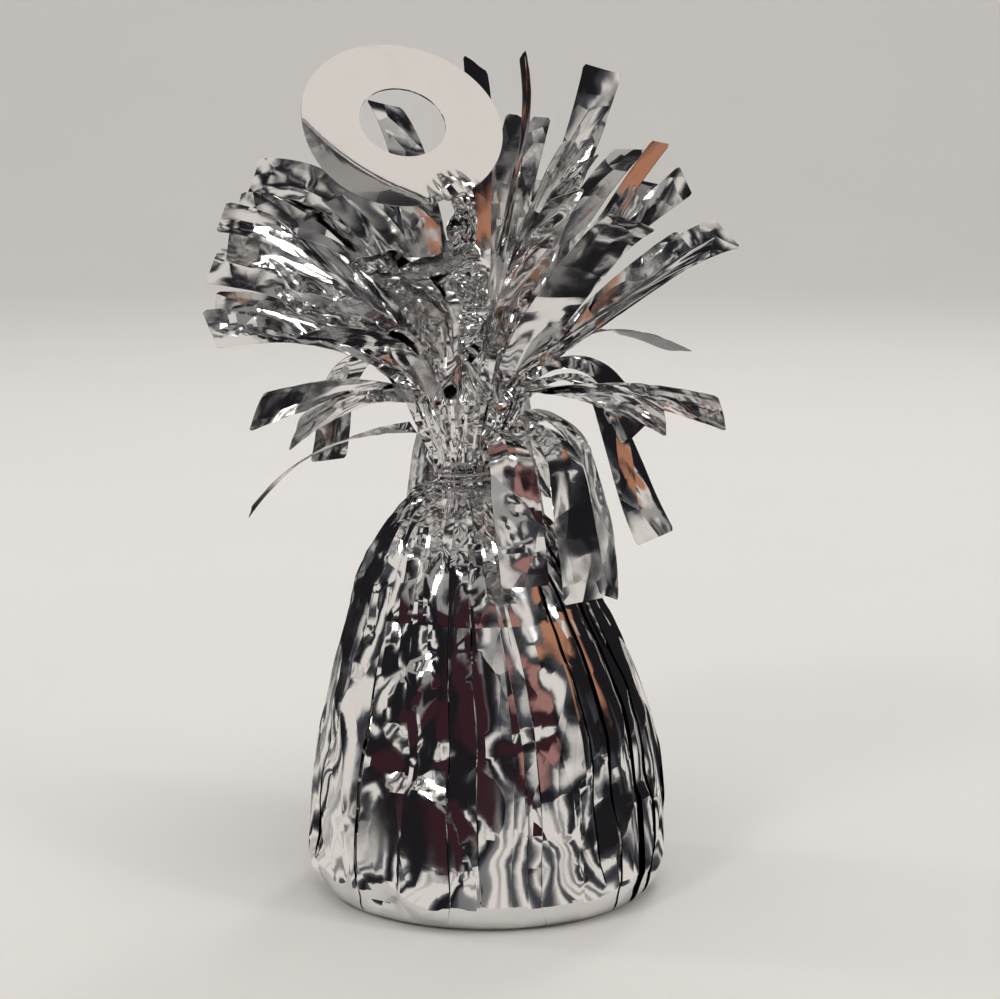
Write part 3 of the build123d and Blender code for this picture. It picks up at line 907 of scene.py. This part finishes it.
CRUMPLED: dict[str, float] = {
    "outer_strip_10": 2.2, "middle_strip_7": 2.4, "middle_strip_8": 2.4, "middle_strip_9": 2.2,
    "outer_strip_12": 1.6, "outer_strip_8": 1.5, "low_strip_6": 1.5, "lap_strip_1": 0.3, "lap_strip_2": 0.2,
    "middle_strip_2": 0.3, "middle_strip_3": 0.5, "middle_strip_10": 0.2, "inner_strip_5": 0.4,
    "inner_strip_6": 0.4,
}


@dataclass
class Fringe:
    """The cut edge of the film above the tie: strips, each on its own root, in millimetres."""

    bell: Bell
    fringe_length: float = 50.0
    strip_width: float = 8.0
    strip_lead: float = 2.0
    strip_taper: float = 16.0
    root_stand: float = 1.25
    root_gap: float = 0.9
    corner: float = 0.7
    gather_reach: Pair = (11, 17)
    gather_shift: float = 0.12
    curl_share: float = 0.6
    fold_height: float = 0.26
    dent_height: float = 0.12
    flick_start: Pair = (0.66, 0.82)
    flick_reach: float = 8.0
    flick_height: float = 1.1
    crease_angle: float = 6.0
    rows_per_mm: float = 1.7
    columns: int = 14

    def _seat(self, tier: Tier) -> Pair:
        """Radius and height of a tier's roots, which stand off the collar's flank or the crown's slope."""
        bell = self.bell
        if tier is Tier.LOW:
            radius, height, share = bell.neck_radius, bell.neck_height, tier.share
            run, rise = bell.collar_radius - radius, bell.collar_rise
        else:
            radius, height = bell.collar_radius, bell.collar_height
            run, rise = bell.crown_radius - radius, bell.crown_rise
            share = radius * (tier.share - 1) / run
        stand = self.root_stand / math.hypot(run, rise)
        return radius + run * share + rise * stand, height + rise * share - run * stand

    def _path(self, strip: Strip, distance: np.ndarray) -> tuple[np.ndarray, np.ndarray, np.ndarray]:
        """Follows a strip's middle line.

        Args:
            strip: The strip.
            distance: Evenly spaced distances along it from its root.

        Returns:
            Points, directions across and normals, one row for each distance.
        """
        radius, height = self._seat(strip.tier)
        seat, turn, lift, roll, droop = (
            math.radians(angle)
            for angle in (strip.seat, strip.seat + strip.yaw, strip.lift, strip.roll, strip.droop)
        )
        root = np.array([self.bell.neck_lean + radius * math.cos(seat), radius * math.sin(seat), height])
        outward = np.array([math.cos(turn), math.sin(turn), 0.0])
        along = outward * math.cos(lift) + np.array([0.0, 0.0, math.sin(lift)])
        level = np.array([-math.sin(turn), math.cos(turn), 0.0])
        across = level * math.cos(roll) + np.cross(along, level) * math.sin(roll)
        normal = np.cross(along, across)
        length = strip.length * self.fringe_length
        free = length - self.strip_lead
        bend = min(strip.bend * self.fringe_length or free / droop, free / droop)
        turned = ramp(distance - self.strip_lead, bend * droop) * droop
        heading = np.outer(np.cos(turned), along) - np.outer(np.sin(turned), normal)
        middle = (heading[1:] + heading[:-1]) / 2 * np.diff(distance)[:, None]
        points = root + np.concatenate([np.zeros((1, 3)), np.cumsum(middle, axis=0)])
        twist = math.radians(strip.twist) * distance / length
        upright = np.cross(heading, across)
        side = np.outer(np.cos(twist), across) + upright * np.sin(twist)[:, None]
        return points, side, np.cross(heading, side)

    def build(self, palette: Palette) -> list[Piece]:
        """Makes every strip and the second film layers that lie with them.

        Args:
            palette: Materials of the finishes.

        Returns:
            The finished pieces.
        """
        film = palette.of(FRINGE_FILM)
        made = []
        for tier, strips in STRIPS.items():
            for place, strip in enumerate(strips, 1):
                name = f"{tier.label}_strip_{place}"
                seed = 1000 + 100 * list(Tier).index(tier) + place
                made.append(self._strip(f"{name}_film", strip, seed, film, CRUMPLED.get(name, 1.0)))
                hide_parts(name)
                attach(made[-1], name)
                layer = LAYERS.get(name)
                if layer is None:
                    continue
                second = replace(
                    strip,
                    yaw=strip.yaw + layer.yaw,
                    lift=strip.lift + layer.lift,
                    length=strip.length * layer.length,
                )
                made.append(self._strip(f"{name}_layer_film", second, seed + 50, film, layer.crumple))
                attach(made[-1], name)
        return made

    def _strip(self, name: str, strip: Strip, seed: int, film: bpy.types.Material, crumple: float) -> Piece:
        """Makes one strip of film: gathered at its root, curled across, creased and square cut.

        Args:
            name: Name of the piece.
            strip: The strip that it follows.
            seed: Start of its random draw.
            film: Its material.
            crumple: How strongly it is crumpled.

        Returns:
            The finished piece.
        """
        length = strip.length * self.fringe_length
        rows = int(length * self.rows_per_mm)
        film_piece = FilmPiece(name, self.columns, rows)
        piece, across, along = film_piece.flat()
        stations = np.linspace(0, length, rows + 1)
        points, side, normal = self._path(strip, stations)
        row = np.rint(along * rows).astype(int)
        distance = stations[row]
        rng = np.random.default_rng(seed)
        narrow = 2 * self._seat(strip.tier)[0] * math.sin(math.pi / strip.tier.room) - self.root_gap
        width = np.minimum(self.strip_width, narrow + (self.strip_width - narrow) * distance / self.strip_taper)
        from_end = np.clip(length - distance, 0, self.corner)
        width = width - 2 * (self.corner - np.sqrt(self.corner**2 - (self.corner - from_end) ** 2)) * 0.6
        beside = (across - 0.5) * width
        gather = 1 - ramp(distance, rng.uniform(*self.gather_reach))
        fold = np.abs(across - 0.5 + rng.uniform(-self.gather_shift, self.gather_shift)) * 2
        loose = min(crumple, 1.0)
        rise = rng.choice((-1.0, 1.0)) * gather * (0.6 + loose) * (1 - fold)
        curl = rng.uniform(-0.6, 0.6) + rng.uniform(-0.3, 0.3) * np.sin(along * rng.uniform(2, 5))
        rise = rise + self.curl_share * loose * curl * (1 - (2 * across - 1) ** 2) * (1 - gather)
        for creases in (
            Crumple(seed, 4, (2, -4), (length, 4), (6, 16), (2, 5), self.fold_height * crumple, 0, 22),
            Crumple(
                seed + 7, int(5 * crumple), (2, -4), (length, 4), (2, 6), (1.2, 3),
                self.dent_height * crumple**1.5, 60, 60,
            ),
        ):
            rise = rise + creases.at(distance, beside)
        flick = np.clip((distance - length * rng.uniform(*self.flick_start)) / self.flick_reach, 0, None)
        rise = rise + loose * rng.uniform(-self.flick_height, self.flick_height) * flick**2
        placed = points[row] + side[row] * beside[:, None] + normal[row] * rise[:, None]
        film_piece.finish(piece, placed, self.crease_angle, film)
        return piece


@dataclass
class RingTab:
    """The ring for the ribbons and the twisted stem that carries it, in millimetres and degrees."""

    outer_radius: float = 16.5
    hole_radius: float = 7.1
    turn: float = 18.5
    tip_back: float = 43.0
    root_angle: float = 42.0
    warp: float = 0.25
    crease_turn: float = 65.0
    crease_reach: float = 12.3
    crease_bow: float = 0.012
    crease_fold: float = 24.0
    pucker: float = 0.8
    pucker_reach: float = 6.0
    stem_top: Triple = (-4.6, -7.6, 115.2)
    stem_root: Triple = (-3.9, -4.058, 88.1)
    stem_width: Pair = (2.0, 5.6)
    stem_pleats: int = 4
    stem_depth: float = 2.2
    stem_bow: float = 1.6
    stem_twist: float = 420.0
    sharp_angle: float = 30.0

    def _axes(self) -> tuple[np.ndarray, np.ndarray, np.ndarray]:
        """Normal of the ring, direction from its middle to its root, and the hinge line there."""
        turn, tip, root = (math.radians(angle) for angle in (self.turn, self.tip_back, self.root_angle))
        rise = np.array([math.sin(turn), 0.0, math.cos(turn)])
        front = np.array([0.0, -1.0, 0.0])
        normal = front * math.cos(tip) + rise * math.sin(tip)
        level = np.array([math.cos(turn), 0.0, -math.sin(turn)])
        down = front * math.sin(tip) - rise * math.cos(tip)
        toward = level * math.cos(root) + down * math.sin(root)
        return normal, toward, np.cross(normal, toward)

    def build(self, palette: Palette) -> list[Piece]:
        """Makes the ring and its stem.

        Args:
            palette: Materials of the finishes.

        Returns:
            The ring and the stem.
        """
        return [self._ring(palette.of(TAB_FILM)), self._stem(palette.of(FOIL))]

    def _ring(self, material: bpy.types.Material) -> Piece:
        """Makes the ring: a stiff film washer with a crease at its lower left."""
        normal, toward, beside = self._axes()
        center = np.array(self.stem_top) - toward * self.outer_radius
        film = FilmPiece("ring_tab_film", 120, 14, thickness=0.00035)
        piece, around, along = film.flat()
        angle = around * FULL_TURN
        radius = self.hole_radius + (self.outer_radius - self.hole_radius) * along
        x, y = radius * np.cos(angle), radius * np.sin(angle)
        rise = self.warp * np.sin(2 * angle + 0.6) * (radius / self.outer_radius) ** 2
        crease, back = math.radians(self.crease_turn), math.radians(self.crease_fold)
        along_crease = x * math.sin(crease) + y * math.cos(crease)
        past = x * math.cos(crease) - y * math.sin(crease) - self.crease_reach + self.crease_bow * along_crease**2
        folded = np.clip(past, 0, None)
        x = x - folded * (1 - math.cos(back)) * math.cos(crease)
        y = y + folded * (1 - math.cos(back)) * math.sin(crease)
        rise = rise - folded * math.sin(back)
        root = 1 - ramp(np.hypot(x - self.outer_radius, y), self.pucker_reach)
        rise = rise + self.pucker * root * np.sin(y * 1.9 + 0.7)
        placed = center + np.outer(x, toward) + np.outer(y, beside) + np.outer(rise, normal)
        film.finish(piece, placed, self.sharp_angle, material, seam=True)
        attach(piece, "ring")
        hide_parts("ring_tab")
        return piece

    def _stem(self, material: bpy.types.Material) -> Piece:
        """Makes the stem: a strip of film gathered lengthwise, twisted and crumpled."""
        root, top = np.array(self.stem_root), np.array(self.stem_top)
        film = FilmPiece("tab_stem_film", 28, 90)
        piece, across, along = film.flat()
        narrow, wide = self.stem_width
        swell = np.sqrt(np.clip(np.sin(math.pi * (0.02 + 0.92 * along)), 0, 1))
        beside = (across - 0.5) * (narrow + (wide - narrow) * swell)
        pleat = across * self.stem_pleats
        fold = pleat % 1.0
        zigzag = (np.where(pleat.astype(int) % 2 == 0, fold, 1 - fold) - 0.5) * self.stem_depth
        length = float(np.linalg.norm(top - root))
        creases = Crumple(71, 90, (0.0, -3.0), (length, 3.0), (1.0, 4.0), (0.6, 1.6), 0.9, 0.0, 90.0)
        zigzag = zigzag + creases.at(along * length, beside)
        rise = unit(top - root)
        base = np.array([1.0, 0.0, 0.0])
        first = unit(base - rise * base.dot(rise))
        twist = np.radians(self.stem_twist) * along
        side = np.outer(np.cos(twist), first) + np.outer(np.sin(twist), np.cross(rise, first))
        line = root + np.outer(along, top - root) + np.outer(self.stem_bow * np.sin(math.pi * along), base)
        placed = line + side * beside[:, None] + np.cross(rise, side) * zigzag[:, None]
        film.finish(piece, placed, self.sharp_angle, material)
        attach(piece, "stem")
        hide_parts("tab_stem")
        return piece


@dataclass(frozen=True)
class Card:
    """A round glowing card that only mirror reflections meet: a painted reflection of the wall, floor or ceiling of
    a dim room.

    Attributes:
        name: Name of the card.
        near: Distance and height of its first edge in metres.
        far: Distance and height of its second edge in metres.
        around: Scale of its patches round the object.
        upward: Scale of its patches along its height.
        outward: Scale of its patches away from the object.
        tones: Places on the noise and the colours there.
    """

    name: str
    near: Pair
    far: Pair
    around: float
    upward: float
    outward: float
    tones: tuple[tuple[float, Triple], ...]


@dataclass(frozen=True)
class Spot:
    """A soft round glowing patch of one colour on the cards, a painted coloured reflection: its place and reach in
    metres.
    """

    place: Triple
    reach: float
    colour: Triple


@dataclass(frozen=True)
class Lamp:
    """A square soft lamp: its place, size in metres, power, colour, aim and whether reflections show it."""

    name: str
    place: Triple
    size: float
    energy: float
    colour: Triple
    aim: Triple = (0.0, 0.0, 0.07)
    mirrored: bool = True


# Tones of the glowing cards: painted reflections of a dim room that the film mirrors, not colours of the film.
BLACK_REFLECTION = (0.012, 0.011, 0.013)
SLATE = (0.07, 0.072, 0.082)
MAROON = (0.036, 0.014, 0.018)
# Orange painted reflection: the rust-coloured tint it puts on the film is a reflection, not rust.
ORANGE_REFLECTION = (0.42, 0.19, 0.11)
ROSE = (0.34, 0.17, 0.15)
PUTTY = (0.28, 0.27, 0.26)
CREAM = (0.72, 0.675, 0.63)


def aimed(place: Triple, aim: Triple) -> object:
    """Gives the turn that points a lamp or a camera from its place to its aim."""
    return (Vector(aim) - Vector(place)).to_track_quat("-Z", "Y").to_euler()


@dataclass
class Studio:
    """Floor that sweeps up into a backdrop, soft lamps, glowing cards that paint the reflections, and the camera,
    in metres.
    """

    eye: Triple = (0.00207, -0.39508, 0.12777)
    target: Triple = (0.00207, 0.0, 0.0652)
    lens: float = 87.12
    sensor: float = 36.0
    clip: Pair = (0.01, 20.0)
    floor_radius: float = 1.4
    sweep_radius: float = 0.7
    wall_height: float = 2.2
    floor_columns: int = 96
    card_columns: int = 72
    floor_tones: tuple[Triple, Triple] = ((0.80, 0.785, 0.765), (0.83, 0.815, 0.79))
    sky: Triple = (0.82, 0.83, 0.85)
    sky_strength: float = 0.45
    lamps: tuple[Lamp, ...] = (
        Lamp("top", (0.1, -0.3, 1.3), 0.8, 5.0, (1.0, 0.97, 0.93), mirrored=False),
        Lamp("back", (0.0, 0.6, 1.5), 0.8, 6.0, (1.0, 0.98, 0.96), (0.0, 2.1, 0.5), mirrored=False),
        Lamp("key", (-0.5, -0.75, 0.85), 0.16, 1.6, (1.0, 0.97, 0.93)),
        Lamp("fill", (0.8, -0.45, 0.75), 0.14, 1.2, (1.0, 0.98, 0.96)),
        Lamp("rim", (0.3, 0.8, 0.9), 0.2, 1.6, (1.0, 0.98, 0.97)),
        Lamp("side", (-0.85, 0.25, 0.6), 0.14, 1.0, (1.0, 0.96, 0.92)),
    )
    cards: tuple[Card, ...] = (
        # Painted reflection of the walls: glowing dark bands with pale gaps that the film mirrors.
        Card("wall_card", (0.9, 0.0), (0.9, 0.75), 2.2, 0.9, 0.0, (
            (0.32, PUTTY), (0.37, SLATE), (0.42, BLACK_REFLECTION), (0.54, BLACK_REFLECTION), (0.59, SLATE), (0.63, CREAM),
        )),
        # Painted reflection of the floor: glowing dark and pale streaks that the film mirrors in place of the pale
        # floor.
        Card("floor_card", (0.033, 0.001), (0.9, 0.001), 4.5, 0.0, 0.8, (
            (0.34, BLACK_REFLECTION), (0.42, SLATE), (0.47, PUTTY), (0.50, CREAM), (0.58, CREAM), (0.64, SLATE),
        )),
        # Painted reflection of the ceiling: glowing dark and pale patches that the film's upward faces mirror.
        Card("ceiling_card", (0.0, 1.2), (1.1, 1.1), 2.0, 0.0, 3.0, (
            (0.34, PUTTY), (0.40, BLACK_REFLECTION), (0.49, BLACK_REFLECTION), (0.53, SLATE), (0.57, PUTTY), (0.62, CREAM),
        )),
    )
    # Painted reflections: maroon, orange and rose patches that tint the film, and a cream painted highlight on the
    # ceiling card that stands in for the top lamp, which reflections don't show.
    spots: tuple[Spot, ...] = (
        Spot((-0.38, -0.81, 0.25), 0.26, MAROON),
        Spot((0.42, -0.79, 0.12), 0.2, MAROON),
        Spot((0.31, -0.09, 1.18), 0.34, CREAM),
        Spot((0.87, 0.0, 0.5), 0.2, ORANGE_REFLECTION),
        Spot((0.5, -0.74, 0.38), 0.14, ROSE),
        Spot((-0.42, 0.8, 0.62), 0.13, ORANGE_REFLECTION),
    )

    def build(self) -> None:
        """Sets up everything that isn't part of the object."""
        scene = bpy.context.scene
        scene.view_settings.view_transform = "Standard"
        self._world(scene)
        self._floor()
        for lamp in self.lamps:
            self._lamp(lamp)
        for card in self.cards:
            self._card(card)
        self._camera(scene)

    def _world(self, scene: bpy.types.Scene) -> None:
        """Fills the room of a scene with even dim light."""
        world = bpy.data.worlds.new("dim_room")
        nodes = ShaderTree.of(world)
        sky = nodes.add("ShaderNodeBackground", {"Color": (*self.sky, 1.0), "Strength": self.sky_strength})
        nodes.add("ShaderNodeOutputWorld", {"Surface": sky.outputs[0]})
        scene.world = world

    def _floor(self) -> None:
        """Lays the pale floor, which curves up into a plain backdrop all round."""
        flat = [(self.floor_radius * share, 0.0) for share in np.linspace(0, 1, 9)]
        curve = [
            (
                self.floor_radius + self.sweep_radius * math.sin(turn),
                self.sweep_radius * (1 - math.cos(turn)),
            )
            for turn in np.linspace(0, math.pi / 2, 13)[1:]
        ]
        outline = np.array(flat + curve + [(curve[-1][0], self.wall_height)])
        rows = len(outline) - 1
        floor, across, along = add_grid("floor", self.floor_columns, rows)
        reach, height = outline[np.rint(along * rows).astype(int)].T
        write_points(floor, around_axis(reach, across * FULL_TURN, height))
        merge_seam(floor, reach=1e-5)
        bpy.ops.object.shade_smooth()
        made = bpy.data.materials.new("pale_floor")
        nodes = ShaderTree.of(made)
        noise = nodes.add("ShaderNodeTexNoise", {"Vector": nodes.place(), "Scale": 9.0, "Detail": 3.0})
        nodes.surface(nodes.add("ShaderNodeBsdfPrincipled", {
            "Base Color": nodes.mix(noise.outputs["Fac"], *self.floor_tones),
            "Roughness": 0.85,
            "Specular IOR Level": 0.0,
        }))
        floor.data.materials.append(made)

    @staticmethod
    def _lamp(lamp: Lamp) -> None:
        """Hangs a soft lamp."""
        deselect()
        bpy.ops.object.light_add(type="AREA", location=lamp.place)
        hung = bpy.context.object
        hung.name = f"{lamp.name}_lamp"
        hung.data.shape = "SQUARE"
        hung.data.size = lamp.size
        hung.data.energy = lamp.energy
        hung.data.color = lamp.colour
        hung.visible_glossy = lamp.mirrored
        hung.rotation_euler = aimed(lamp.place, lamp.aim)

    def _card(self, card: Card) -> None:
        """Puts up a glowing card, a painted reflection. Only mirror reflections meet it."""
        sheet, across, along = add_grid(card.name, self.card_columns, 1)
        reach, height = (near + (far - near) * along for near, far in zip(card.near, card.far))
        write_points(sheet, around_axis(reach, (across - 0.5) * FULL_TURN, height))
        sheet.data.materials.append(self._card_material(card))
        sheet.visible_camera = False
        sheet.visible_diffuse = False
        sheet.visible_shadow = False

    def _card_material(self, card: Card) -> bpy.types.Material:
        """Builds the glowing soft patches of a card and the room's coloured spots on it, all painted reflections.

        Args:
            card: The card.

        Returns:
            The new material.
        """
        made = bpy.data.materials.new(card.name)
        nodes = ShaderTree.of(made)
        place = nodes.place()
        way = nodes.vector("NORMALIZE", nodes.vector("MULTIPLY", place, (1.0, 1.0, 0.0)))
        turned = nodes.vector("MULTIPLY", way, (card.around, card.around, 0.0))
        spread = nodes.vector("MULTIPLY", place, (card.outward, card.outward, card.upward))
        total = nodes.vector("ADD", turned, spread)
        noise = nodes.add("ShaderNodeTexNoise", {"Vector": total, "Scale": 1.0, "Detail": 0.5})
        ramped = nodes.add("ShaderNodeValToRGB", {"Fac": noise.outputs["Fac"]})
        stops = ramped.color_ramp.elements
        while len(stops) < len(card.tones):
            stops.new(0.5)
        for stop, (position, colour) in zip(stops, card.tones):
            stop.position = position
            stop.color = (*colour, 1.0)
        tone = ramped.outputs["Color"]
        for spot in self.spots:
            away = nodes.add("ShaderNodeVectorMath", {0: place, 1: spot.place}, operation="DISTANCE")
            near = nodes.steps(away.outputs["Value"], spot.reach * 1.3, spot.reach * 0.7)
            tone = nodes.mix(near, tone, spot.colour)
        # The card glows by emission: its colours are painted reflections, not lamps.
        nodes.surface(nodes.add("ShaderNodeEmission", {"Color": tone}))
        return made

    def _camera(self, scene: bpy.types.Scene) -> None:
        """Places a scene's camera at the photograph's viewing angle."""
        deselect()
        bpy.ops.object.camera_add(location=self.eye)
        camera = bpy.context.object
        camera.name = "photo_camera"
        camera.rotation_euler = aimed(self.eye, self.target)
        camera.data.lens = self.lens
        camera.data.sensor_width = self.sensor
        camera.data.clip_start, camera.data.clip_end = self.clip
        scene.camera = camera


def main() -> None:
    """Builds the studio and dresses the object."""
    logging.basicConfig(level=logging.INFO)
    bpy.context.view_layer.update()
    Studio().build()
    palette = Palette()
    bell = Bell()
    wrap = bell.build(palette)
    strips = Fringe(bell).build(palette)
    for piece in [wrap, *strips, *RingTab().build(palette)]:
        LOG.info("made %s", piece.name)
    palette.dress_kept_shapes()


if __name__ == "__main__":
    main()
